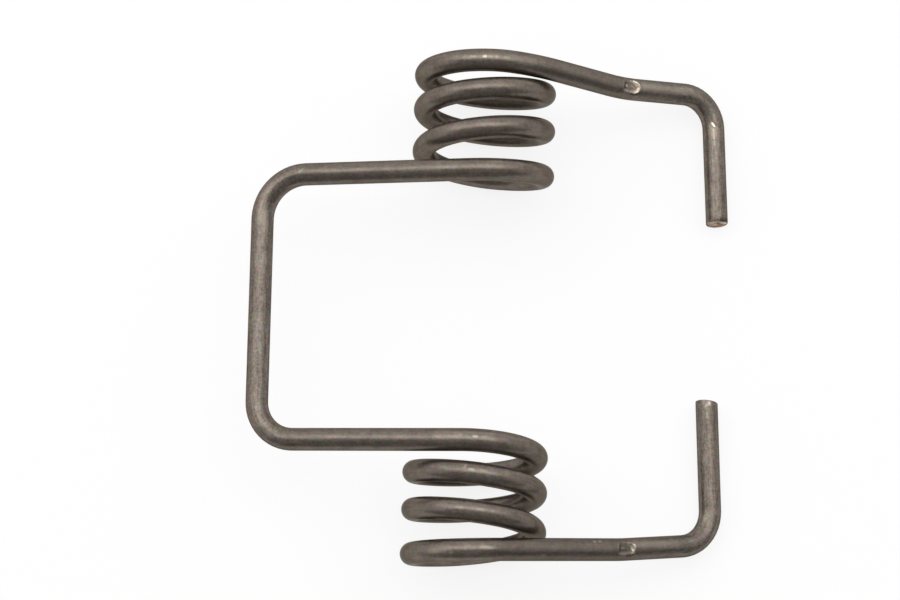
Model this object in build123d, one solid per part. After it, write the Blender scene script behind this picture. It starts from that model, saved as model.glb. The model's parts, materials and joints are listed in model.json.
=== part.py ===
from build123d import *
import os
from math import atan, cos, degrees, inf, radians, sin, tan

# Chain adjuster spring: one round steel wire, bent and wound into two torsion
# coils that share an axis. A bridge joins the coils on one side, and on the
# other side each coil ends in a free leg with a tang turned in at its end.
# All sizes are millimetres and degrees.
#
# The spring is worked out in its coil frame: +Y along the coil axis with the
# far coil on the +Y side, the bridge towards -X, the tangs towards +X, and
# the origin on the axis midway between the two bridge legs. It is then laid
# down as it comes to rest, on the bottoms of the coils and the two tangs.

# Wire, and its two sheared ends with their rounded rims: both faces lean the
# same way about X, and each is also turned a little away from the coils
wire_diameter = 4.0
shear_lean = 8.5
far_shear_turn = 1.6
near_shear_turn = 7.4
end_bevel = 0.15

# Coils, where an angle is measured about the axis from the top of a coil
coil_mean_radius = 10.78
bridge_leg_angle = 14.8
free_leg_angle = 26.4
arcs_per_turn = 8

# Each half turn moves out along the axis by half the wire and by one of
# these, so that two neighbours add up to a gap between turns. They run from
# the bridge leg to the free leg. The coils are hand set, which makes them
# uneven, and each coil closes up where it runs into its free leg.
far_coil_openings = (1.27, 2.33, 2.13, 1.14, 1.97, -0.91)
near_coil_openings = (1.89, -0.07, 2.78, -0.03, 4.03, -1.85)

# Bridge, between the centre lines of its two legs, and its bends
bridge_width = 47.46
far_bridge_leg_length = 37.7
near_bridge_leg_length = 37.2
far_bridge_bend_radius = 7.9
near_bridge_bend_radius = 6.8

# Free legs: the runs from coil to tang, each with its slope away from the
# middle of the spring, and the radii of the gentle bends between them
far_leg_runs = (4.84, 17.62, 19.06)
far_leg_slopes = (0.6, -5.7, 3.3)
far_leg_bend_radii = (80.0, 36.3)
near_leg_runs = (23.5, 18.9)
near_leg_slopes = (-3.3, -6.0)
near_leg_bend_radii = (40.0,)

# Tangs, from the corner where leg and tang would meet to the middle of the
# sheared end, and how far each leans away from the coils
far_tang_length = 23.85
near_tang_length = 25.58
far_tang_lean = 2.7
near_tang_lean = -2.5
far_tang_bend_radius = 6.0
near_tang_bend_radius = 6.6

# Press marks that the bending tool left on top of the free legs, where they
# kink: flat floor, square towards the coil and round towards the tang
mark_from_corner = 18.4
mark_length = 3.4
mark_width = 2.5
mark_depth = 0.4

# A bend takes at most this share of the shorter run beside it, so that two
# neighbouring bends never meet
bend_share = 0.4995


def on_coil(angle, radius, side, out):
    """A point at this angle and radius about the axis, and this far along it."""
    return Vector(radius * sin(radians(angle)), side * out, radius * cos(radians(angle)))


def leg_direction(side, slope):
    """Unit vector along a free leg, which dips as it leaves its coil."""
    dip = radians(free_leg_angle)
    return Vector(cos(dip), side * tan(radians(slope)), -sin(dip)).normalized()


def half_turns(openings):
    """How far each half turn of a coil moves out along the axis."""
    return [wire_diameter / 2 + opening for opening in openings]


def moved_out(share, advances, end_slope):
    """Distance along the axis when this share, from 0 to 1, of a coil is wound.

    A cubic runs through the end of every advance. It starts square to the
    axis and ends with the slope of the free leg.
    """
    stations = [sum(advances[:count]) for count in range(len(advances) + 1)]
    slopes = [0.0]
    slopes += [(after - before) / 2 for before, after in zip(stations, stations[2:])]
    slopes.append(end_slope)
    index = min(int(share * len(advances)), len(advances) - 1)
    t = share * len(advances) - index
    return (
        (2 * t**3 - 3 * t**2 + 1) * stations[index]
        + (t**3 - 2 * t**2 + t) * slopes[index]
        + (3 * t**2 - 2 * t**3) * stations[index + 1]
        + (t**3 - t**2) * slopes[index + 1]
    )


def coil_corners(side, openings, leg_slope):
    """Corners of the polygon round a coil, from the bridge leg to the free leg."""
    advances = half_turns(openings)
    wound = 180 * len(advances) + bridge_leg_angle + free_leg_angle
    arcs = round(wound / 360 * arcs_per_turn)
    corner_radius = coil_mean_radius / cos(radians(wound / arcs / 2))
    advance_arc = coil_mean_radius * radians(wound) / len(advances)
    end_slope = advance_arc * tan(radians(leg_slope))
    corners = []
    for arc in range(arcs):
        share = (arc + 0.5) / arcs
        out = bridge_width / 2 + moved_out(share, advances, end_slope)
        corners.append(on_coil(wound * share - bridge_leg_angle, corner_radius, side, out))
    return corners


def leg_corners(side, openings, runs, slopes, tang_length, tang_lean):
    """Where a coil ends, the corners of its free leg, and the tip of its tang."""
    out = bridge_width / 2 + sum(half_turns(openings))
    corners = [on_coil(free_leg_angle, coil_mean_radius, side, out)]
    for run, slope in zip(runs, slopes):
        corners.append(corners[-1] + leg_direction(side, slope) * run)
    lean = radians(tang_lean)
    tip = corners[-1] + Vector(sin(lean), -side * cos(lean), 0) * tang_length
    return corners + [tip]


def bridge_corner(side, leg_length):
    """Where a bridge leg, which leaves its coil with a dip, meets the bridge."""
    dip = radians(bridge_leg_angle)
    start = on_coil(-bridge_leg_angle, coil_mean_radius, side, bridge_width / 2)
    return start + Vector(-cos(dip), 0, -sin(dip)) * leg_length


def along_tang(leg):
    """Unit vector along a tang, towards its tip."""
    return (leg[-1] - leg[-2]).normalized()


def uncut_tip(leg):
    """The end of a tang before it is sheared."""
    return leg[-1] + along_tang(leg) * wire_diameter


def widest_bend(before, corner, after):
    """Largest radius that a bend at this corner has room for."""
    room = bend_share * min((corner - before).length, (after - corner).length)
    turn = (corner - before).get_angle(after - corner)
    return room / tan(radians(turn / 2))


def bent_wire(corners, wanted_radii):
    """A round wire with a bend at every corner but the first and the last."""
    bends = zip(wanted_radii, corners, corners[1:], corners[2:])
    radii = [min(wanted, widest_bend(*around)) for wanted, *around in bends]
    path = Wire(FilletPolyline(*corners, radius=radii).edges())
    section = Plane(path @ 0, z_dir=path % 0) * Circle(wire_diameter / 2)
    return sweep(section, path=path)


def shear_off(leg, side, turn):
    """The block past a sheared end, whose near face is the sheared one."""
    leaned = along_tang(leg).rotate(Axis.X, -shear_lean)
    face = Plane(leg[-1], z_dir=leaned.rotate(Axis.Z, side * turn))
    size = 3 * wire_diameter
    return face * Pos(0, 0, size / 2) * Box(size, size, size)


def press_mark(leg, side, slope):
    """The block that one press mark takes out of the top of a free leg."""
    along = leg_direction(side, slope)
    dip = radians(free_leg_angle)
    upwards = Vector(sin(dip), 0, cos(dip))
    floor_height = wire_diameter / 2 - mark_depth
    middle = leg[-2] - along * mark_from_corner + upwards * floor_height
    nose = mark_width / 2
    outline = Pos(-nose / 2, 0) * Rectangle(mark_length - nose, mark_width)
    outline += Pos(mark_length / 2 - nose, 0) * Circle(nose)
    return extrude(Plane(middle, x_dir=along, z_dir=upwards) * outline, wire_diameter / 2)


def rest_roll(legs):
    """How far the spring rolls towards its tangs before one meets the floor."""
    dip = radians(free_leg_angle)
    reaches = [leg[-2].dot(Vector(cos(dip), 0, -sin(dip))) for leg in legs]
    return min(2 * degrees(atan(coil_mean_radius / reach)) for reach in reaches) - free_leg_angle


def lay_down(spring, roll):
    """Turn the spring to its rest pose, with its origin central beneath it."""
    laid = Rot(0, roll, 0) * spring
    box = laid.bounding_box()
    return Pos(-box.center().X, -box.center().Y, -box.min.Z) * laid


far_coil = coil_corners(1, far_coil_openings, far_leg_slopes[0])
near_coil = coil_corners(-1, near_coil_openings, near_leg_slopes[0])
far_leg = leg_corners(
    1, far_coil_openings, far_leg_runs, far_leg_slopes, far_tang_length, far_tang_lean
)
near_leg = leg_corners(
    -1, near_coil_openings, near_leg_runs, near_leg_slopes, near_tang_length, near_tang_lean
)

# One wire from tip to tip. A coil's bends are as wide as they can be, which
# makes them run into each other.
corners = [
    uncut_tip(far_leg),
    *far_leg[-2:0:-1],
    *reversed(far_coil),
    bridge_corner(1, far_bridge_leg_length),
    bridge_corner(-1, near_bridge_leg_length),
    *near_coil,
    *near_leg[1:-1],
    uncut_tip(near_leg),
]
wanted_radii = [
    far_tang_bend_radius,
    *reversed(far_leg_bend_radii),
    *[inf for corner in far_coil],
    far_bridge_bend_radius,
    near_bridge_bend_radius,
    *[inf for corner in near_coil],
    *near_leg_bend_radii,
    near_tang_bend_radius,
]
spring = bent_wire(corners, wanted_radii)
spring -= shear_off(far_leg, 1, far_shear_turn)
spring -= shear_off(near_leg, -1, near_shear_turn)
spring = fillet(spring.faces().filter_by(GeomType.PLANE).edges(), end_bevel)
spring -= press_mark(far_leg, 1, far_leg_slopes[-1])
spring -= press_mark(near_leg, -1, near_leg_slopes[-1])
spring = lay_down(spring, rest_roll([far_leg, near_leg]))

os.makedirs("parts", exist_ok=True)
spring.label = "spring_wire"
export_step(spring, "parts/spring_wire.step")
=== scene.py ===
import json
from math import ceil, cos, inf, pi, radians, sin, tan

import bpy
from mathutils import Matrix, Vector

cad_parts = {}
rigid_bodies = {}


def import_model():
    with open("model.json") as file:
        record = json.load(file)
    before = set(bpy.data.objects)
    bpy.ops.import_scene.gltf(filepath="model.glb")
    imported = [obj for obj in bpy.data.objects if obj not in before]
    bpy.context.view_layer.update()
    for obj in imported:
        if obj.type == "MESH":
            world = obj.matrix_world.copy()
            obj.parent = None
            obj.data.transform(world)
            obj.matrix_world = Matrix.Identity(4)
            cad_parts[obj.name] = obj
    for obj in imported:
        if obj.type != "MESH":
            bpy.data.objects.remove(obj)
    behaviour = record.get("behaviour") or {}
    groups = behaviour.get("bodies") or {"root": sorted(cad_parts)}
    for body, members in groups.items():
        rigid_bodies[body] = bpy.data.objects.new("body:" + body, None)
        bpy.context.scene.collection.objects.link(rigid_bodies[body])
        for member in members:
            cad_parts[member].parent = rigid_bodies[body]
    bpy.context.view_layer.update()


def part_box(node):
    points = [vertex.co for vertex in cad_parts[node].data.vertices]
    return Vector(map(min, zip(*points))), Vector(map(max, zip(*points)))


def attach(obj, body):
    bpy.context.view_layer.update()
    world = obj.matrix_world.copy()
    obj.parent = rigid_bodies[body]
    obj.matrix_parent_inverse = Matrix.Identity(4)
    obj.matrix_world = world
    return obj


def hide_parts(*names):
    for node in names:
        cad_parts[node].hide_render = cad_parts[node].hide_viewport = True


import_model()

# Chain adjuster spring: one drawn and oil-tempered steel wire, bent and wound
# into two torsion coils. It starts as a straight tube, is bent along its route,
# and then has its ends sheared off and its marks pressed in. Sizes are
# millimetres and degrees, and MM makes them metres.
#
# The spring is made in its coil frame: +Y along the coil axis towards the far
# coil, the bridge towards -X, the tangs towards +X, and the origin on the axis
# midway between the two bridge legs. It is then laid down where the part lies.
MM = 0.001

# Wire, and its two sheared ends with their rounded rims: how much spare wire
# is sheared off, how both faces lean, and how far each is turned
WIRE_RADIUS = 2.0
SHEAR_LEAN = 8.5
FAR_SHEAR_TURN = 1.6
NEAR_SHEAR_TURN = 7.4
END_BEVEL = 0.15
END_BEVEL_STEPS = 3
SPARE_END = 1.2

# Coils, where an angle is measured about the axis from the top of a coil
COIL_RADIUS = 10.78
BRIDGE_LEG_ANGLE = 14.8
FREE_LEG_ANGLE = 26.4
ARCS_PER_TURN = 8

# What each half turn moves out along the axis, past half the wire's diameter
FAR_OPENINGS = (1.27, 2.33, 2.13, 1.14, 1.97, -0.91)
NEAR_OPENINGS = (1.89, -0.07, 2.78, -0.03, 4.03, -1.85)

# Bridge, between the centre lines of its two legs, and its bends
BRIDGE_WIDTH = 47.46
FAR_BRIDGE_LEG = 37.7
NEAR_BRIDGE_LEG = 37.2
FAR_BRIDGE_BEND = 7.9
NEAR_BRIDGE_BEND = 6.8

# Free legs: the runs from coil to tang, each with its slope away from the
# middle of the spring, and the radii of the gentle bends between them
FAR_RUNS = (4.84, 17.62, 19.06)
FAR_SLOPES = (0.6, -5.7, 3.3)
FAR_BENDS = (80.0, 36.3)
NEAR_RUNS = (23.5, 18.9)
NEAR_SLOPES = (-3.3, -6.0)
NEAR_BENDS = (40.0,)

# Tangs: from the corner where leg and tang would meet to the middle of the
# sheared end, how far each leans away from the coils, and its bend
FAR_TANG = 23.85
NEAR_TANG = 25.58
FAR_LEAN = 2.7
NEAR_LEAN = -2.5
FAR_TANG_BEND = 6.0
NEAR_TANG_BEND = 6.6

# A bend takes at most this share of the shorter run beside it
BEND_SHARE = 0.4995

# The spring rolls this far about its coils before its tangs meet the floor
REST_ROLL = 2.222

# Press marks on the free legs: how far each is from the corner of its tang,
# how far askew both are, and their size. A mark has a flat floor with a
# sloping wall round it, and a low lip round its outline.
FAR_MARK = 18.2
NEAR_MARK = 18.5
MARK_TURN = -10
MARK_LENGTH = 3.3
MARK_WIDTH = 2.5
MARK_DEPTH = 0.4
MARK_WALL = 0.36
LIP_WIDTH = 0.2
LIP_HEIGHT = 0.035

# Their mesh: how far outside the outline its rings and its faces are finer,
# and how often the wall and then the lip are smoothed
MARK_RING_REACH = 1.5
MARK_FACE_REACH = 0.45
MARK_RING_CUTS = 2
MARK_FACE_CUTS = 3
WALL_SMOOTHING = 60
LIP_SMOOTHING = 5

# Sheared faces: a grid across each, how far the broken steel stands in and
# out, and how near a face's plane its own points are
FACE_GRID = 12
FACE_RELIEF = 0.07
FACE_PLANE = 0.0015

# Mesh: sides round the wire, the spacing of its rings, the steps along its
# route, and about how many rings one cut of a stretch may add
SIDES = 48
RING_SPACING = 0.8
ROUTE_STEP = 0.4
MOST_CUTS = 90

# Camera, from the origin of the coil frame: how far it is tilted towards the
# near coil, turned about its own axis and moved aside, how far away it is, its
# lens, and the nearest that it sees, in metres
CAMERA_TILT = 9.7615
CAMERA_TURN = 1.6669
CAMERA_ASIDE = (-5.1984, 2.3897)
CAMERA_DISTANCE = 455.005
CAMERA_LENS = 102.376
CAMERA_NEAREST = 0.01

# Floor: its width in metres, its colour, and the part of its look that is its
# own white
FLOOR_SIZE = 6
FLOOR_COLOUR = (0.94, 0.94, 0.94, 1)
FLOOR_OWN_WHITE = 0.85

# Lamps: elevation, heading, distance, width, height and radiance, in degrees
# and metres, and the level light of the room
LAMPS = {
    "key": (66, 90, 1.6, 4.4, 1.6, 0.96),
    "core": (71, 88, 1.5, 2.2, 0.75, 1.35),
    "back": (18, 90, 1.8, 4.0, 1.3, 0.88),
    "left": (26, 171, 1.7, 2.2, 1.4, 0.76),
    "right": (22, 13, 1.7, 2.0, 1.2, 0.52),
    "front": (66, 270, 1.7, 2.0, 1.2, 0.13),
}
ROOM_LIGHT = 0.27

# Steel: its own colour, the colour of its edges, the range of its roughness,
# how deep its pits and drawn lines are, and how much of that depth is pits
BASE_COLOUR = (0.166, 0.14, 0.118)
EDGE_COLOUR = (0.43, 0.405, 0.375, 1)
METALLIC = 0.9
ROUGHNESS = (0.29, 0.38)
BUMP_DEPTH = 0.018
PIT_SHARE = 0.6

# Noises: the size of their blotches, their detail and their roughness, and the
# range that most of a noise's values are in
DRAWN_LINES = (0.14, 3, 0.6)
DRAWN_STREAKS = (0.5, 3, 0.55)
SCALE_PATCHES = (1.9, 3, 0.55)
SCALE_GRAIN = (0.42, 2, 0.6)
SCALE_PITS = (0.3, 1, 0.5)
SCALE_TINT = (0.75, 2, 0.5)
SCALE_FRAYS = (0.35, 1, 0.5)
NOISE_RANGE = (0.3, 0.7)

# How little of the way along the wire counts for its lines and streaks, which
# draws them out, and how far the pits' noise is warped
LINES_ALONG = 0.05
STREAKS_ALONG = 0.09
PIT_WARP = 0.4

# How far the grain, streaks, lines and patches turn the steel lighter and
# darker, and how far the tint turns its red, green and blue
GRAIN_TONE = 0.12
STREAK_TONE = 0.08
LINE_TONE = 0.1
PATCH_TONE = 0.1
TINT_TONE = 0.3

# The bridge and the tangs, which are handled more: from where to where that
# grows, as a distance from the coil axis, and how much more their flecks show
HANDLED_FROM = (30.0, 37.0)
HANDLED_MORE = 0.9

# Worn places and painted light: bare steel, which in places is painted highlight
# and glint, and how much smoother it is, dark places, which in places are
# painted shade, rust, the part of a stroke's width that has its full strength,
# how far its edges fray, and how little a height above a worn floor counts
BARE_AND_HIGHLIGHT_COLOUR = (0.82, 0.73, 0.57, 1)
BARE_SMOOTHER = -0.06
DARK_AND_SHADE_COLOUR = (0.05, 0.043, 0.036, 1)
RUST_COLOUR = (0.36, 0.17, 0.13, 1)
STROKE_CORE = 0.2
FRAY = 0.22
MARK_FLATNESS = 3.0

# Sheared faces, where the steel broke: their two colours, the range of noise
# from one to the other, and how far from its middle a face ends
BROKEN_DARK = (0.26, 0.2, 0.16, 1)
BROKEN_PALE = (0.5, 0.39, 0.32, 1)
BROKEN_ROUGHNESS = 0.5
BROKEN_RANGE = (0.85, 1.15)
FACE_ENDS = (1.5 * WIRE_RADIUS, 1.3 * WIRE_RADIUS)


def on_coil(angle, radius, side, out):
    """A point at this angle and radius about the axis, and this far along it."""
    return Vector((radius * sin(radians(angle)), side * out, radius * cos(radians(angle))))


def leg_direction(side, slope):
    """Unit vector along a free leg, which dips as it leaves its coil."""
    dip = radians(FREE_LEG_ANGLE)
    return Vector((cos(dip), side * tan(radians(slope)), -sin(dip))).normalized()


def half_turns(openings):
    """How far each half turn of a coil moves out along the axis."""
    return [WIRE_RADIUS + opening for opening in openings]


def moved_out(share, advances, end_slope):
    """Distance along the axis when this share, from 0 to 1, of a coil is wound.

    A cubic runs through the end of every half turn. It starts square to the
    axis and ends with the slope of the free leg.
    """
    stations = [sum(advances[:count]) for count in range(len(advances) + 1)]
    slopes = [0.0]
    slopes += [(after - before) / 2 for before, after in zip(stations, stations[2:])]
    slopes.append(end_slope)
    index = min(int(share * len(advances)), len(advances) - 1)
    t = share * len(advances) - index
    return (
        (2 * t**3 - 3 * t**2 + 1) * stations[index]
        + (t**3 - 2 * t**2 + t) * slopes[index]
        + (3 * t**2 - 2 * t**3) * stations[index + 1]
        + (t**3 - t**2) * slopes[index + 1]
    )


def coil_corners(side, openings, leg_slope):
    """Corners of the polygon round a coil, from the bridge leg to the free leg."""
    advances = half_turns(openings)
    wound = 180 * len(advances) + BRIDGE_LEG_ANGLE + FREE_LEG_ANGLE
    arcs = round(wound / 360 * ARCS_PER_TURN)
    corner_radius = COIL_RADIUS / cos(radians(wound / arcs / 2))
    advance_arc = COIL_RADIUS * radians(wound) / len(advances)
    end_slope = advance_arc * tan(radians(leg_slope))
    corners = []
    for arc in range(arcs):
        share = (arc + 0.5) / arcs
        out = BRIDGE_WIDTH / 2 + moved_out(share, advances, end_slope)
        corners.append(on_coil(wound * share - BRIDGE_LEG_ANGLE, corner_radius, side, out))
    return corners


def leg_corners(side, openings, runs, slopes, tang_length, tang_lean):
    """Where a coil ends, the corners of its free leg, and the tip of its tang."""
    out = BRIDGE_WIDTH / 2 + sum(half_turns(openings))
    corners = [on_coil(FREE_LEG_ANGLE, COIL_RADIUS, side, out)]
    for run, slope in zip(runs, slopes):
        corners.append(corners[-1] + leg_direction(side, slope) * run)
    lean = radians(tang_lean)
    tip = corners[-1] + Vector((sin(lean), -side * cos(lean), 0)) * tang_length
    return corners + [tip]


def bridge_corner(side, leg_length):
    """Where a bridge leg, which leaves its coil with a dip, meets the bridge."""
    dip = radians(BRIDGE_LEG_ANGLE)
    start = on_coil(-BRIDGE_LEG_ANGLE, COIL_RADIUS, side, BRIDGE_WIDTH / 2)
    return start + Vector((-cos(dip), 0, -sin(dip))) * leg_length


def spare_tip(leg):
    """The end of the wire before it is sheared, a little past the tang's tip."""
    return leg[-1] + (leg[-1] - leg[-2]).normalized() * SPARE_END


def round_bend(before, corner, after, wanted):
    """Points round one bend, as wide as wanted or as its two runs allow."""
    first, second = (corner - before).normalized(), (after - corner).normalized()
    turn = first.angle(second)
    room = BEND_SHARE * min((corner - before).length, (after - corner).length)
    radius = min(wanted, room / tan(turn / 2))
    axis = first.cross(second).normalized()
    start = corner - first * radius * tan(turn / 2)
    centre = start + axis.cross(first) * radius
    steps = ceil(radius * turn / ROUTE_STEP)
    return [
        centre + Matrix.Rotation(turn * step / steps, 3, axis) @ (start - centre)
        for step in range(steps + 1)
    ]


def route_points(corners, wanted_radii):
    """Close points along the wire's centre line, from tip to tip."""
    ends_of_runs = [corners[0]]
    for wanted, *around in zip(wanted_radii, corners, corners[1:], corners[2:]):
        ends_of_runs += round_bend(*around, wanted)
    ends_of_runs.append(corners[-1])
    line = [corners[0]]
    for start, end in zip(ends_of_runs, ends_of_runs[1:]):
        steps = max(1, round((end - start).length / ROUTE_STEP))
        line += [start.lerp(end, step / steps) for step in range(1, steps + 1)]
    return line


def pick(piece):
    """Makes a piece the only one selected and the active one."""
    bpy.ops.object.select_all(action="DESELECT")
    piece.select_set(True)
    bpy.context.view_layer.objects.active = piece


def work_on(piece):
    """Picks a piece, in edit mode, with nothing of it selected."""
    pick(piece)
    bpy.ops.object.mode_set(mode="EDIT")
    bpy.ops.mesh.select_all(action="DESELECT")


def select(piece, kind, parts, wanted):
    """In edit mode, selects one kind of a mesh's parts, those that pass the test."""
    bpy.ops.mesh.select_all(action="DESELECT")
    bpy.ops.mesh.select_mode(type=kind)
    bpy.ops.object.mode_set(mode="OBJECT")
    for part in getattr(piece.data, parts):
        part.select = wanted(part)
    bpy.ops.object.mode_set(mode="EDIT")


def select_points(piece, wanted):
    """In edit mode, selects the points that pass the test."""
    select(piece, "VERT", "vertices", lambda point: wanted(point.co / MM))


def select_edges(piece, wanted):
    """In edit mode, selects the edges whose two ends pass the test."""

    def both_ends(edge):
        """Whether an edge's two ends pass."""
        return wanted(*(piece.data.vertices[index].co / MM for index in edge.vertices))

    select(piece, "EDGE", "edges", both_ends)


def select_faces(piece, wanted):
    """In edit mode, selects the faces whose centre passes the test."""
    select(piece, "FACE", "polygons", lambda face: wanted(face.center / MM))


def straight_tube(name, length):
    """The wire before any bending: a tube along X that starts at the origin."""
    bpy.ops.object.select_all(action="DESELECT")
    bpy.ops.mesh.primitive_circle_add(
        vertices=SIDES, radius=WIRE_RADIUS * MM, rotation=(0, pi / 2, 0)
    )
    tube = bpy.context.object
    tube.name = tube.data.name = name
    bpy.ops.object.transform_apply(location=True, rotation=True, scale=True)
    work_on(tube)
    bpy.ops.mesh.select_all(action="SELECT")
    near_tip = 2 * SPARE_END
    stretches = ceil(length / RING_SPACING / MOST_CUTS)
    stretch = (length - 2 * near_tip) / stretches
    for distance in (near_tip, *[stretch] * stretches, near_tip):
        bpy.ops.mesh.extrude_region_move(TRANSFORM_OT_translate={"value": (distance * MM, 0, 0)})
    select_edges(tube, lambda one, other: abs(one.x - other.x) > 2 * near_tip)
    bpy.ops.mesh.subdivide(number_cuts=round(stretch / RING_SPACING) - 1)
    bpy.ops.mesh.select_all(action="SELECT")
    bpy.ops.mesh.normals_make_consistent(inside=False)
    bpy.ops.mesh.faces_shade_smooth()
    bpy.ops.object.mode_set(mode="OBJECT")
    return tube


def remember_straight(tube):
    """Keeps each point's place on the straight wire, for finishes that follow it."""
    places = tube.data.attributes.new("straight", "FLOAT_VECTOR", "POINT")
    for place, vertex in zip(places.data, tube.data.vertices):
        place.vector = vertex.co / MM


def route_curve(line):
    """The wire's centre line as a curve."""
    curve = bpy.data.curves.new("route", "CURVE")
    curve.dimensions = "3D"
    curve.twist_mode = "MINIMUM"
    spline = curve.splines.new("POLY")
    spline.points.add(len(line) - 1)
    for target, point in zip(spline.points, line):
        target.co = (*(point * MM), 1)
    route = bpy.data.objects.new("route", curve)
    bpy.context.scene.collection.objects.link(route)
    return route


def bend(tube, line):
    """Bends a straight tube along a centre line."""
    route = route_curve(line)
    modifier = tube.modifiers.new("bend", "CURVE")
    modifier.object = route
    modifier.deform_axis = "POS_X"
    pick(tube)
    bpy.ops.object.modifier_apply(modifier=modifier.name)
    bpy.data.objects.remove(route)


far_coil = coil_corners(1, FAR_OPENINGS, FAR_SLOPES[0])
near_coil = coil_corners(-1, NEAR_OPENINGS, NEAR_SLOPES[0])
far_leg = leg_corners(1, FAR_OPENINGS, FAR_RUNS, FAR_SLOPES, FAR_TANG, FAR_LEAN)
near_leg = leg_corners(-1, NEAR_OPENINGS, NEAR_RUNS, NEAR_SLOPES, NEAR_TANG, NEAR_LEAN)
corners = [
    spare_tip(far_leg),
    *far_leg[-2:0:-1],
    *reversed(far_coil),
    bridge_corner(1, FAR_BRIDGE_LEG),
    bridge_corner(-1, NEAR_BRIDGE_LEG),
    *near_coil,
    *near_leg[1:-1],
    spare_tip(near_leg),
]
wanted_radii = [
    FAR_TANG_BEND,
    *reversed(FAR_BENDS),
    *[inf for corner in far_coil],
    FAR_BRIDGE_BEND,
    NEAR_BRIDGE_BEND,
    *[inf for corner in near_coil],
    *NEAR_BENDS,
    NEAR_TANG_BEND,
]
line = route_points(corners, wanted_radii)
length = sum((end - start).length for start, end in zip(line, line[1:]))

wire = straight_tube("bent_wire", length)
remember_straight(wire)
bend(wire, line)


def end_place(leg, side, turn):
    """Where a sheared face lies: its middle, with Z out of the face."""
    tip = leg[-1]
    leaned = Matrix.Rotation(radians(-SHEAR_LEAN), 3, "X") @ (tip - leg[-2]).normalized()
    outwards = Matrix.Rotation(radians(side * turn), 3, "Z") @ leaned
    return Matrix.Translation(tip) @ outwards.to_track_quat("Z", "Y").to_matrix().to_4x4()


def shear_off(piece, place, seed):
    """Cuts a tang off, rounds the rim of the sheared face and roughens the face."""
    middle, outwards = place.translation, place.col[2].xyz

    def on_face(point):
        """Whether a point lies on the sheared face."""
        offset = point - middle
        return offset.length < 2 * WIRE_RADIUS and abs(offset.dot(outwards)) < FACE_PLANE

    work_on(piece)
    select_faces(piece, lambda centre: (centre - middle).length < 2 * WIRE_RADIUS)
    bpy.ops.mesh.bisect(
        plane_co=middle * MM, plane_no=outwards, use_fill=True, clear_outer=True
    )
    select_faces(piece, on_face)
    bpy.ops.mesh.region_to_loop()
    bpy.ops.mesh.bevel(offset=END_BEVEL * MM, segments=END_BEVEL_STEPS)
    select_faces(piece, on_face)
    bpy.ops.mesh.delete(type="ONLY_FACE")
    select_edges(piece, lambda one, other: on_face(one) and on_face(other))
    bpy.ops.mesh.fill_grid(span=FACE_GRID)
    bpy.ops.mesh.faces_shade_smooth()
    bpy.ops.mesh.select_less()
    # The cut leaves the points in no fixed order, so they are put in one before
    # they are moved at random
    bpy.ops.mesh.sort_elements(type="CURSOR_DISTANCE", elements={"VERT"})
    bpy.ops.transform.vertex_random(offset=FACE_RELIEF * MM, normal=1.0, seed=seed)
    bpy.ops.mesh.subdivide(number_cuts=1, smoothness=1)
    bpy.ops.mesh.select_all(action="SELECT")
    bpy.ops.mesh.normals_make_consistent(inside=False)
    bpy.ops.object.mode_set(mode="OBJECT")


def mark_place(leg, side, slope, from_corner):
    """Where a press mark lies: X along the mark, Y across it, Z up from its floor."""
    dip = radians(FREE_LEG_ANGLE)
    along, upwards = leg_direction(side, slope), Vector((sin(dip), 0, cos(dip)))
    axes = Matrix((along, upwards.cross(along), upwards)).transposed().to_4x4()
    middle = leg[-2] - along * from_corner + upwards * (WIRE_RADIUS - MARK_DEPTH)
    return Matrix.Translation(middle) @ axes @ Matrix.Rotation(radians(MARK_TURN), 4, "Z")


def outside_mark(point):
    """How far outside a mark's outline a point in the mark's own place is."""
    nose = MARK_WIDTH / 2
    centre = MARK_LENGTH / 2 - nose
    if point.x > centre:
        return Vector((point.x - centre, point.y)).length - nose
    return max(abs(point.y) - nose, -MARK_LENGTH / 2 - point.x)


def press_mark(piece, place):
    """Presses a flat floor, square at one end and round at the other, into a leg."""
    into = place.inverted()

    def near(point, spare):
        """Whether a point is on top of the leg, less than this outside the mark."""
        placed = into @ point
        return placed.z > -MARK_DEPTH and outside_mark(placed) < spare

    def along_leg(one, other):
        """Whether an edge on top of the leg runs along it, from ring to ring."""
        on_top = near(one, MARK_RING_REACH) and near(other, MARK_RING_REACH)
        return on_top and abs((one - other).dot(place.col[0].xyz)) > RING_SPACING / 2

    work_on(piece)
    select_edges(piece, along_leg)
    bpy.ops.mesh.subdivide(number_cuts=MARK_RING_CUTS, smoothness=1)
    select_faces(piece, lambda centre: near(centre, MARK_FACE_REACH))
    bpy.ops.mesh.subdivide(number_cuts=MARK_FACE_CUTS, smoothness=1)
    select_points(piece, lambda point: near(point, -MARK_WALL) and (into @ point).z > 0)
    bpy.ops.transform.resize(
        value=(1, 1, 0),
        orient_matrix=place.to_3x3(),
        orient_matrix_type="LOCAL",
        orient_type="LOCAL",
        center_override=place.translation * MM,
    )
    select_points(piece, lambda point: near(point, 0) and not near(point, -MARK_WALL))
    bpy.ops.mesh.vertices_smooth(factor=0.5, repeat=WALL_SMOOTHING)
    select_points(piece, lambda point: near(point, LIP_WIDTH) and not near(point, 0))
    bpy.ops.transform.shrink_fatten(value=LIP_HEIGHT * MM)
    select_points(piece, lambda point: near(point, 2 * LIP_WIDTH))
    bpy.ops.mesh.vertices_smooth(factor=0.5, repeat=LIP_SMOOTHING)
    bpy.ops.mesh.select_mode(type="FACE")
    bpy.ops.mesh.select_face_by_sides(number=4, type="GREATER")
    bpy.ops.mesh.quads_convert_to_tris(ngon_method="BEAUTY")
    bpy.ops.object.mode_set(mode="OBJECT")


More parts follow.
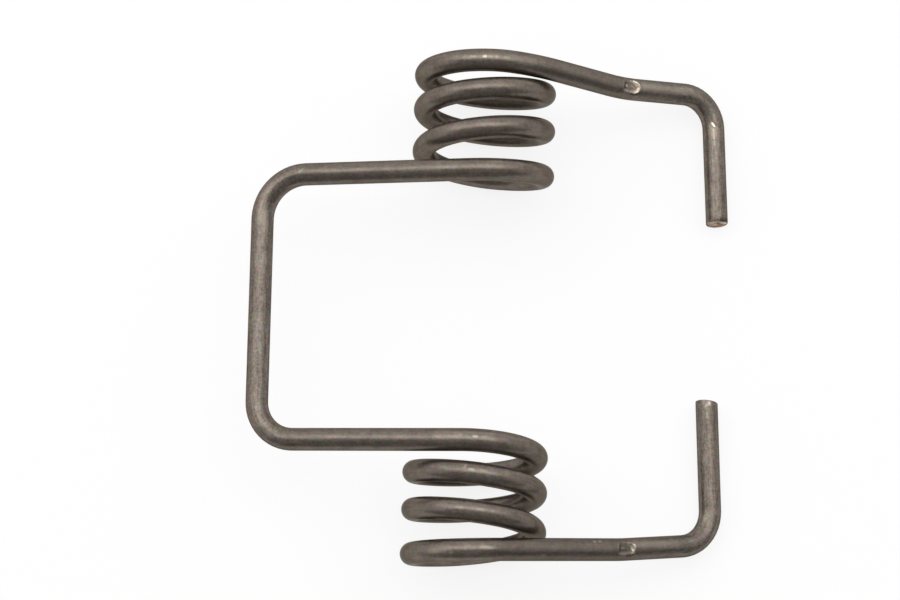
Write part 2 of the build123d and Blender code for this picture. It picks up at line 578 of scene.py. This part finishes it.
far_end = end_place(far_leg, 1, FAR_SHEAR_TURN)
near_end = end_place(near_leg, -1, NEAR_SHEAR_TURN)
shear_off(wire, far_end, seed=1)
shear_off(wire, near_end, seed=2)
far_mark = mark_place(far_leg, 1, FAR_SLOPES[-1], FAR_MARK)
near_mark = mark_place(near_leg, -1, NEAR_SLOPES[-1], NEAR_MARK)
press_mark(wire, far_mark)
press_mark(wire, near_mark)


def lay_down(piece):
    """Lays a piece that was made about the coil axis where the part lies."""
    roll = Matrix.Rotation(radians(REST_ROLL), 4, "Y")
    rolled = [roll @ vertex.co for vertex in piece.data.vertices]
    low = Vector(min(point[axis] for point in rolled) for axis in range(3))
    high = Vector(max(point[axis] for point in rolled) for axis in range(3))
    cad_low, cad_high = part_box("spring_wire")
    shift = (cad_low + cad_high - low - high) / 2
    laid = Matrix.Translation(shift) @ roll
    piece.data.transform(laid)
    return laid


laid = lay_down(wire)

camera = bpy.data.objects.new("camera", bpy.data.cameras.new("camera"))
bpy.context.scene.collection.objects.link(camera)
camera.data.lens = CAMERA_LENS
camera.data.clip_start = CAMERA_NEAREST
aside = Vector((*CAMERA_ASIDE, CAMERA_DISTANCE)) * MM
camera.matrix_world = (
    laid
    @ Matrix.Rotation(radians(CAMERA_TILT), 4, "X")
    @ Matrix.Rotation(radians(CAMERA_TURN), 4, "Z")
    @ Matrix.Translation(aside)
)
bpy.context.scene.camera = camera


# Nodes are added in the order in which they are worked out, and none of them
# clamps its result. A clamp is worked out after all the other nodes, and with
# this many strokes the values that wait for one nearly fill a shader's room.


def feed(tree, socket, source):
    """Links an input to another node's output, or sets it to a plain value."""
    if isinstance(source, bpy.types.NodeSocket):
        tree.links.new(source, socket)
    else:
        socket.default_value = source


def add(tree, kind, *fed, **settings):
    """Adds a node and feeds its inputs in order, apart from those given as None."""
    node = tree.nodes.new("ShaderNode" + kind)
    for name, value in settings.items():
        setattr(node, name, value)
    for socket, source in zip(node.inputs, fed):
        if source is not None:
            feed(tree, socket, source)
    return node


def maths(tree, operation, *fed):
    """The result of one sum on plain values."""
    return add(tree, "Math", *fed, operation=operation).outputs["Value"]


def vectors(tree, operation, *fed):
    """The result of one sum on vectors."""
    return add(tree, "VectorMath", *fed, operation=operation).outputs["Vector"]


def measured(tree, operation, *fed):
    """The plain value that one sum on vectors gives."""
    return add(tree, "VectorMath", *fed, operation=operation).outputs["Value"]


def scaled(tree, vector, factor):
    """A vector times a plain value."""
    product = add(tree, "VectorMath", vector, operation="SCALE")
    feed(tree, product.inputs["Scale"], factor)
    return product.outputs["Vector"]


def spread(tree, value, low, high, to_low=0.0, to_high=1.0):
    """A value's range from low to high, eased onto another range and held there."""
    eased = {"interpolation_type": "SMOOTHSTEP", "clamp": False}
    return add(tree, "MapRange", value, low, high, to_low, to_high, **eased).outputs["Result"]


def swing(tree, value, to_low, to_high):
    """A noise's usual values, spread onto another range."""
    return spread(tree, value, *NOISE_RANGE, to_low, to_high)


def noise(tree, place, size, detail, roughness, warp=0.0):
    """Noise whose blotches are about this size, where a place is in millimetres."""
    node = add(tree, "TexNoise", place, None, 1 / size, detail, roughness)
    node.inputs["Distortion"].default_value = warp
    return node.outputs


def blended(tree, share, one, other):
    """One colour, and the other by a share."""
    mix = add(tree, "Mix", data_type="RGBA")
    inputs = {socket.identifier: socket for socket in mix.inputs}
    feed(tree, inputs["Factor_Float"], share)
    feed(tree, inputs["A_Color"], one)
    feed(tree, inputs["B_Color"], other)
    return next(socket for socket in mix.outputs if socket.identifier == "Result_Color")


def effect(name, inputs, outputs):
    """An empty shared effect, with its input node and its output node."""
    group = bpy.data.node_groups.new(name, "ShaderNodeTree")
    for direction, sockets in (("INPUT", inputs), ("OUTPUT", outputs)):
        for socket, kind in sockets.items():
            group.interface.new_socket(socket, in_out=direction, socket_type="NodeSocket" + kind)
    given, made = group.nodes.new("NodeGroupInput"), group.nodes.new("NodeGroupOutput")
    return group, given.outputs, made.inputs


def use(tree, group, **fed):
    """A shared effect in a material, with its inputs fed by name."""
    node = add(tree, "Group", node_tree=group)
    for name, source in fed.items():
        feed(tree, node.inputs[name], source)
    return node.outputs


def stroke_effect():
    """A mask of one short stroke with soft edges, from a start to an end."""
    group, given, made = effect(
        "stroke",
        {"Place": "Vector", "Start": "Vector", "End": "Vector", "Width": "Float"},
        {"Mask": "Float"},
    )
    reach = vectors(group, "SUBTRACT", given["Place"], given["Start"])
    run = vectors(group, "SUBTRACT", given["End"], given["Start"])
    along = measured(group, "DOT_PRODUCT", reach, run)
    share = maths(group, "DIVIDE", along, measured(group, "DOT_PRODUCT", run, run))
    share = maths(group, "MAXIMUM", maths(group, "MINIMUM", share, 1.0), 0.0)
    off = vectors(group, "SUBTRACT", reach, scaled(group, run, share))
    edge = maths(group, "DIVIDE", measured(group, "LENGTH", off), given["Width"])
    group.links.new(spread(group, edge, 1.0, STROKE_CORE), made["Mask"])
    return group


def drawn_effect():
    """The fine lines that drawing leaves along a wire, from places on the straight one."""
    group, given, made = effect(
        "drawn_lines", {"Straight": "Vector"}, {"Lines": "Float", "Streaks": "Float"}
    )
    fine = vectors(group, "MULTIPLY", given["Straight"], (LINES_ALONG, 1, 1))
    group.links.new(noise(group, fine, *DRAWN_LINES)["Fac"], made["Lines"])
    broad = vectors(group, "MULTIPLY", given["Straight"], (STREAKS_ALONG, 1, 1))
    group.links.new(noise(group, broad, *DRAWN_STREAKS)["Fac"], made["Streaks"])
    return group


def scale_effect():
    """The uneven oxide of oil tempering: its patches, its grain and its faint colours."""
    group, given, made = effect(
        "tempering_scale",
        {"Place": "Vector"},
        {"Patches": "Float", "Grain": "Float", "Pits": "Float", "Tint": "Color", "Frays": "Vector"},
    )
    place = given["Place"]
    group.links.new(noise(group, place, *SCALE_PATCHES)["Fac"], made["Patches"])
    group.links.new(noise(group, place, *SCALE_GRAIN)["Fac"], made["Grain"])
    group.links.new(noise(group, place, *SCALE_PITS, PIT_WARP)["Fac"], made["Pits"])
    group.links.new(noise(group, place, *SCALE_TINT)["Color"], made["Tint"])
    group.links.new(noise(group, place, *SCALE_FRAYS)["Color"], made["Frays"])
    return group


stroke, drawn_lines, tempering_scale = stroke_effect(), drawn_effect(), scale_effect()


def strokes(tree, place, marks):
    """One mask of several strokes, each given by its start, end, width and strength."""
    total = 0.0
    for start, end, width, strength in marks:
        mask = use(tree, stroke, Place=place, Start=start, End=end, Width=width)["Mask"]
        total = maths(tree, "MAXIMUM", maths(tree, "MULTIPLY", mask, strength), total)
    return total


def seen_from(tree, place, spot, flatness=1.0):
    """A place as it is from a spot with axes of its own, where heights may count for less."""
    mapping = add(tree, "Mapping", place, vector_type="TEXTURE")
    mapping.inputs["Location"].default_value = spot.translation
    mapping.inputs["Rotation"].default_value = spot.to_euler()
    mapping.inputs["Scale"].default_value = (1, 1, flatness)
    return mapping.outputs["Vector"]


# Wear and painted light, as strokes: start, end, width and strength. Those on a
# press mark or on a sheared face are in its own place, and the others are in the
# coil frame.
# Bare steel round the nose and rim of the far mark, painted as bright as the glint on its wall, so
# partly a painted highlight
FAR_MARK_BARE_AND_GLINT = (
    ((-0.3, 1.05, 0), (0.36, 1.15, 0), 0.3, 0.25),
    ((0.36, 1.15, 0), (0.8, 0.95, 0), 0.42, 0.7),
    ((0.8, 0.95, 0), (1.2, 0.58, 0), 0.42, 0.85),
    ((1.2, 0.58, 0), (1.4, 0.1, 0), 0.34, 0.4),
    ((1.36, -0.05, 0), (1.18, -0.4, 0), 0.36, 0.45),
    ((1.18, -0.4, 0), (0.78, -0.78, 0), 0.46, 0.6),
    ((0.78, -0.78, 0), (-0.1, -0.85, 0), 0.32, 0.35),
    ((0.07, 0.17, 0), (0.69, -0.05, 0), 0.28, 0.18),
    ((0.82, -0.38, 0), (0.31, -0.51, 0), 0.28, 0.2),
    ((-1.49, 1.2, 0), (-1.49, -0.95, 0), 0.2, 0.16),
    ((-1.07, 0.04, 0), (-1.07, 0.08, 0), 0.38, 0.35),
    ((-1.2, -0.8, 0), (-0.7, -0.85, 0), 0.34, 0.22),
)
# The two strokes along the lower edge of the far mark's outline are painted shade, the shadow side
# of its lip; the others are darker spots on its floor
FAR_MARK_DARK_AND_SHADE = (
    ((-1.35, -0.1, 0), (-1.0, -0.4, 0), 0.26, 0.7),
    ((-1.3, 0.5, 0), (-0.8, 0.6, 0), 0.28, 0.6),
    ((0.25, -0.1, 0), (0.35, -0.02, 0), 0.38, 0.5),
    ((0.1, -1.2, 0), (1.0, -1.18, 0), 0.24, 0.6),
    ((1.0, -1.18, 0), (1.68, -0.6, 0), 0.26, 0.85),
)
# Bare steel round the near mark, its nose painted as bright as the glint on it, so partly a painted
# highlight
NEAR_MARK_BARE_AND_GLINT = (
    ((0.2, 1.0, 0), (0.95, 0.85, 0), 0.34, 0.25),
    ((0.95, 0.75, 0), (1.35, 0.72, 0), 0.46, 0.55),
    ((1.3, 0.75, 0), (1.2, 0.2, 0), 0.52, 0.85),
    ((1.2, -0.15, 0), (0.9, -0.36, 0), 0.34, 0.12),
    ((0.9, -0.42, 0), (0, -0.74, 0), 0.34, 0.15),
    ((0, -0.74, 0), (-1.39, -0.98, 0), 0.3, 0.14),
    ((-1.65, 0.86, 0), (-1.65, -0.91, 0), 0.18, 0.14),
    ((-0.9, 0.07, 0), (-0.6, 0.1, 0), 0.34, 0.16),
)
# The stroke along the lower edge of the near mark's outline is painted shade, the shadow side of
# its lip; the other is a darker stretch of its floor
NEAR_MARK_DARK_AND_SHADE = (
    ((-1.1, -0.27, 0), (0, -0.22, 0), 0.3, 0.55),
    ((0.2, -1.1, 0), (1.3, -0.75, 0), 0.26, 0.6),
)
FAR_MARK_RUST = (((1.08, 0.24, 0), (1.12, 0.27, 0), 0.28, 0.7),)
NEAR_MARK_RUST = (((0.5, 1.1, 0), (0.6, 1.14, 0), 0.36, 0.4),)
# Bare steel: a scratch and pale spots on the far tang and other small spots and scratches; small
# specks on the coils' crests, painted as bright as the glints on them; and broad faint strokes
# along the tops of the crests, the free legs, the tang bend and the bridge bend, which are
# burnished steel and painted highlight
WIRE_BARE_AND_HIGHLIGHTS = (
    ((41.72, 37.7, -6.81), (42.1, 37.12, -6.76), 0.26, 1.0),
    ((41.98, 36.42, -6.76), (41.99, 36.25, -6.76), 0.36, 0.3),
    ((42.0, 35.9, -6.76), (42.04, 35.35, -6.76), 0.34, 0.22),
    ((42.05, 35.05, -6.76), (42.07, 34.85, -6.76), 0.36, 0.26),
    ((42.09, 34.3, -6.76), (42.12, 33.7, -6.76), 0.36, 0.1),
    ((-0.5, 43.74, 12.77), (-0.25, 43.72, 12.77), 0.46, 0.42),
    ((0.3, 43.74, 12.76), (0.9, 43.74, 12.72), 0.4, 0.14),
    ((1.66, 43.75, 12.66), (1.8, 43.75, 12.66), 0.46, 0.2),
    ((-2.75, 43.72, 12.46), (-2.1, 43.74, 12.6), 0.46, 0.14),
    ((3.2, 43.78, 12.36), (3.9, 43.75, 12.2), 0.44, 0.12),
    ((5.2, 43.68, 11.7), (6.3, 43.66, 11.2), 0.46, 0.09),
    ((-3.7, 43.71, 12.23), (2.3, 43.8, 12.67), 1.0, 0.05),
    ((2.3, 43.8, 12.67), (8.35, 43.64, 10.13), 1.0, 0.05),
    ((28.6, 42.45, 0.05), (37.35, 42.85, -4.25), 1.2, 0.09),
    ((37.35, 42.85, -4.25), (40.1, 41.0, -5.9), 1.1, 0.06),
    ((40.1, 40.8, -5.9), (41.66, 38.59, -6.63), 1.1, 0.08),
    ((41.66, 38.59, -6.63), (42.08, 35.44, -6.76), 1.0, 0.06),
    ((40.2, -36.3, -6.8), (41.2, -34.7, -7.1), 0.36, 0.12),
    ((28.5, -39.95, -0.1), (36.0, -39.7, -3.6), 1.0, 0.07),
    ((-37.9, 21.9, 3.05), (-39.25, 19.6, 2.8), 1.4, 0.07),
    ((-39.25, 19.6, 2.8), (-39.5, 15.5, 2.8), 1.4, 0.07),
    ((-6.3, -23.1, 11.42), (2.3, -23.7, 12.6), 1.6, 0.05),
    ((-7.4, -43.3, 10.36), (-3.85, -43.3, 12.13), 0.8, 0.07),
    ((-8.1, 25.1, 10.57), (2.8, 24.9, 12.23), 0.9, 0.04),
    ((-0.5, -23.4, 12.73), (0.0, -23.5, 12.74), 0.42, 0.24),
    ((-3.1, -23.2, 12.3), (-2.6, -23.2, 12.4), 0.4, 0.12),
    ((1.1, -23.4, 12.68), (1.6, -23.4, 12.6), 0.4, 0.12),
    ((-1.9, -28.75, 12.46), (-1.75, -28.45, 12.44), 0.4, 0.18),
    ((-1.1, -29.1, 12.68), (-0.5, -29.2, 12.73), 0.4, 0.14),
    ((0.9, -29.2, 12.7), (1.8, -29.3, 12.6), 0.42, 0.06),
    ((-3.0, -35.65, 12.4), (-2.2, -35.75, 12.55), 0.44, 0.05),
    ((0.6, -35.95, 12.75), (1.5, -36.0, 12.7), 0.4, 0.06),
    ((3.0, -36.15, 12.4), (3.2, -36.2, 12.36), 0.4, 0.07),
    ((-3.7, -36.4, 12.15), (-3.4, -36.45, 12.22), 0.34, 0.06),
    ((-3.9, -43.4, 12.1), (-3.7, -43.4, 12.14), 0.4, 0.18),
    ((1.4, -42.35, 12.65), (3.2, -42.4, 12.4), 0.5, 0.07),
    ((11.8, -43.1, 8.1), (12.3, -43.1, 7.8), 0.32, 0.1),
    ((-32.73, 23.75, 4.56), (-31.87, 24.48, 4.66), 0.22, 0.14),
    ((41.84, -13.85, -7.16), (41.88, -14.0, -7.16), 0.44, 0.35),
    ((41.8, -14.0, -7.16), (41.15, -14.54, -7.18), 0.34, 0.14),
    ((41.44, -15.8, -7.14), (41.44, -16.5, -7.14), 0.34, 0.14),
    ((21.0, -40.14, 3.27), (21.15, -40.1, 3.2), 0.36, 0.18),
    ((21.95, -40.04, 2.76), (22.1, -40.0, 2.68), 0.4, 0.18),
)
# Dark scratches beside the far tang's bare scratch, and broad strokes all round stretches of the
# free legs and the bridge legs that make those stretches darker
WIRE_DARK = (
    ((42.0, 37.98, -6.75), (42.5, 37.3, -6.81), 0.26, 0.75),
    ((42.8, 37.5, -6.9), (43.1, 37.0, -7.0), 0.22, 0.5),
    ((10.0, 43.4, 7.1), (24.0, 42.1, 0.0), 4.0, 0.28),
    ((4.8, -42.5, 9.66), (25.8, -41.2, -0.8), 4.0, 0.45),
    ((25.8, -41.2, -0.8), (38.0, -39.9, -6.0), 4.0, 0.22),
    ((-14.0, 23.7, 7.5), (-32.0, 23.7, 3.0), 4.0, 0.07),
    ((-14.0, -23.7, 7.5), (-32.0, -23.7, 3.0), 4.0, 0.04),
)
WIRE_RUST = (((41.78, 35.6, -6.8), (41.84, 35.3, -6.79), 0.3, 0.4),)
FAR_FACE_PALE = (
    ((-1.1, 0.9, 0), (-0.4, 1.1, 0), 0.6, 0.5),
    ((0.6, 0.8, 0), (1.0, 0.85, 0), 0.6, 0.35),
    ((1.35, 0.45, 0), (1.5, 0.1, 0), 0.5, 0.6),
    ((-0.7, -0.2, 0), (-0.2, -0.3, 0), 0.5, 0.25),
)
FAR_FACE_DARK = (
    ((0.15, 0.53, 0), (0.6, 0.0, 0), 0.45, 0.8),
    ((-0.9, 0.1, 0), (-0.4, 0.5, 0), 0.35, 0.5),
    ((-0.9, -0.9, 0), (-0.2, -1.3, 0), 0.4, 0.5),
    ((0.9, -0.6, 0), (1.6, -0.4, 0), 0.35, 0.5),
    ((0.5, 1.85, 0), (1.6, 1.2, 0), 0.45, 0.9),
    ((-1.9, 0.2, 0), (-1.5, -1.0, 0), 0.4, 0.5),
)
FAR_FACE_RUST = (
    ((0.7, -0.1, 0), (0.9, -0.25, 0), 0.4, 0.7),
    ((0.2, -0.9, 0), (0.5, -1.2, 0), 0.55, 0.65),
    ((0.1, 1.1, 0), (0.3, 1.15, 0), 0.5, 0.5),
    ((-1.4, 0.85, 0), (-1.2, 0.8, 0), 0.4, 0.35),
)


def wear_and_painted_light(tree, colour, rough, place, marks):
    """The steel's colour and roughness with strokes of dark, bare and rusty steel on it, some of
    them painted shade and painted highlight.
    """
    dark_and_shade, bare_and_highlight, rust = (strokes(tree, place, those) for those in marks)
    colour = blended(tree, dark_and_shade, colour, DARK_AND_SHADE_COLOUR)
    colour = blended(tree, bare_and_highlight, colour, BARE_AND_HIGHLIGHT_COLOUR)
    colour = blended(tree, rust, colour, RUST_COLOUR)
    return colour, maths(tree, "MULTIPLY_ADD", bare_and_highlight, BARE_SMOOTHER, rough)


def sheared_face(tree, place, end):
    """A mask of one sheared face."""
    on_end = seen_from(tree, place, end)
    height = add(tree, "SeparateXYZ", on_end).outputs["Z"]
    near_it = spread(tree, measured(tree, "LENGTH", on_end), *FACE_ENDS)
    return maths(tree, "MULTIPLY", spread(tree, height, -END_BEVEL, 0), near_it)


def own_colour(tree, place, drawn, scale):
    """The steel's own colour, with its flecks, drawn lines, patches and faint tints."""
    sideways = maths(tree, "ABSOLUTE", add(tree, "SeparateXYZ", place).outputs["X"])
    handled = spread(tree, sideways, *HANDLED_FROM)
    grain = swing(tree, scale["Grain"], -GRAIN_TONE, GRAIN_TONE)
    streaks = swing(tree, drawn["Streaks"], -STREAK_TONE, STREAK_TONE)
    lines = swing(tree, drawn["Lines"], -LINE_TONE, LINE_TONE)
    flecks = maths(tree, "ADD", grain, streaks)
    flecks = maths(tree, "MULTIPLY_ADD", lines, handled, flecks)
    stronger = maths(tree, "MULTIPLY_ADD", handled, HANDLED_MORE, 1.0)
    tone = maths(tree, "MULTIPLY_ADD", flecks, stronger, 1.0)
    patches = swing(tree, scale["Patches"], 1 - PATCH_TONE, 1 + PATCH_TONE)
    tone = maths(tree, "MULTIPLY", tone, patches)
    widest, least = (2 * TINT_TONE,) * 3, (1 - TINT_TONE,) * 3
    tint = vectors(tree, "MULTIPLY_ADD", scale["Tint"], widest, least)
    return scaled(tree, vectors(tree, "MULTIPLY", tint, BASE_COLOUR), tone)


def tempered_steel():
    """Dark oil-tempered spring steel with its drawn lines, scale, wear, painted highlight and
    shade, and sheared ends.
    """
    steel = bpy.data.materials.new("oil_tempered_steel")
    steel.use_nodes = True
    tree = steel.node_tree
    shader = tree.nodes["Principled BSDF"]
    shader.inputs["Metallic"].default_value = METALLIC
    shader.inputs["Specular Tint"].default_value = EDGE_COLOUR

    millimetres = scaled(tree, add(tree, "TexCoord").outputs["Object"], 1 / MM)
    laid_mm = Matrix.Translation(laid.translation / MM) @ laid.to_3x3().to_4x4()
    place = seen_from(tree, millimetres, laid_mm)
    straight = add(tree, "Attribute", attribute_name="straight").outputs["Vector"]
    drawn = use(tree, drawn_lines, Straight=straight)
    scale = use(tree, tempering_scale, Place=place)
    colour = own_colour(tree, place, drawn, scale)
    rough = swing(tree, scale["Grain"], *ROUGHNESS)

    ragged = vectors(tree, "MULTIPLY_ADD", scale["Frays"], (FRAY,) * 3, place)
    ragged = vectors(tree, "SUBTRACT", ragged, (FRAY / 2,) * 3)
    flaws = maths(tree, "ADD", scale["Grain"], scale["Patches"])
    broken = blended(tree, spread(tree, flaws, *BROKEN_RANGE), BROKEN_DARK, BROKEN_PALE)
    for end in (far_end, near_end):
        face = sheared_face(tree, ragged, end)
        colour = blended(tree, face, colour, broken)
        rough = add(tree, "Mix", face, None, rough, BROKEN_ROUGHNESS).outputs["Result"]
    on_face = seen_from(tree, ragged, far_end, MARK_FLATNESS)
    on_far = seen_from(tree, ragged, far_mark, MARK_FLATNESS)
    on_near = seen_from(tree, ragged, near_mark, MARK_FLATNESS)
    for spot, marks in (
        (on_face, (FAR_FACE_DARK, FAR_FACE_PALE, FAR_FACE_RUST)),
        (on_far, (FAR_MARK_DARK_AND_SHADE, FAR_MARK_BARE_AND_GLINT, FAR_MARK_RUST)),
        (on_near, (NEAR_MARK_DARK_AND_SHADE, NEAR_MARK_BARE_AND_GLINT, NEAR_MARK_RUST)),
        (ragged, (WIRE_DARK, WIRE_BARE_AND_HIGHLIGHTS, WIRE_RUST)),
    ):
        colour, rough = wear_and_painted_light(tree, colour, rough, spot, marks)

    tree.links.new(colour, shader.inputs["Base Color"])
    tree.links.new(rough, shader.inputs["Roughness"])

    pits = maths(tree, "MULTIPLY", scale["Pits"], PIT_SHARE)
    height = maths(tree, "MULTIPLY_ADD", drawn["Lines"], 1 - PIT_SHARE, pits)
    bump = add(tree, "Bump")
    bump.inputs["Distance"].default_value = BUMP_DEPTH * MM
    tree.links.new(height, bump.inputs["Height"])
    tree.links.new(bump.outputs["Normal"], shader.inputs["Normal"])
    return steel


wire.data.materials.append(tempered_steel())

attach(wire, "root")
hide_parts("spring_wire")

bpy.ops.object.select_all(action="DESELECT")
bpy.ops.mesh.primitive_plane_add(size=FLOOR_SIZE)
floor = bpy.context.object
floor.name = "floor"


def white_paper():
    """A matt white floor, whose own white is most of what a camera sees of it."""
    paper = bpy.data.materials.new("white_paper")
    paper.use_nodes = True
    tree = paper.node_tree
    matt = tree.nodes["Principled BSDF"]
    matt.inputs["Base Color"].default_value = FLOOR_COLOUR
    matt.inputs["Roughness"].default_value = 1.0
    matt.inputs["Specular IOR Level"].default_value = 0.0
    rays = add(tree, "LightPath").outputs
    seen = rays["Is Camera Ray"]
    for kind in ("Is Glossy Ray", "Is Transmission Ray"):
        seen = maths(tree, "MAXIMUM", seen, rays[kind])
    share = maths(tree, "MULTIPLY", seen, FLOOR_OWN_WHITE)
    white = add(tree, "Emission").outputs["Emission"]
    mix = add(tree, "MixShader", share, matt.outputs["BSDF"], white)
    tree.links.new(mix.outputs["Shader"], tree.nodes["Material Output"].inputs["Surface"])
    return paper


floor.data.materials.append(white_paper())


def soft_box(name, elevation, heading, distance, width, height, radiance):
    """A soft lamp that faces the spring, from a heading turned from +X to +Y."""
    data = bpy.data.lights.new(name, "AREA")
    data.shape = "RECTANGLE"
    data.size, data.size_y = width, height
    data.energy = radiance * pi * width * height
    lamp = bpy.data.objects.new(name, data)
    bpy.context.scene.collection.objects.link(lamp)
    level = Vector((cos(radians(heading)), sin(radians(heading)), 0))
    out = level * cos(radians(elevation)) + Vector((0, 0, sin(radians(elevation))))
    lamp.location = out * distance
    lamp.rotation_euler = out.to_track_quat("Z", "Y").to_euler()


for name, settings in LAMPS.items():
    soft_box(name, *settings)

world = bpy.data.worlds.new("studio")
bpy.context.scene.world = world
world.use_nodes = True
background = world.node_tree.nodes["Background"].inputs
background["Color"].default_value = (1, 1, 1, 1)
background["Strength"].default_value = ROOM_LIGHT

bpy.context.scene.view_settings.view_transform = "Standard"
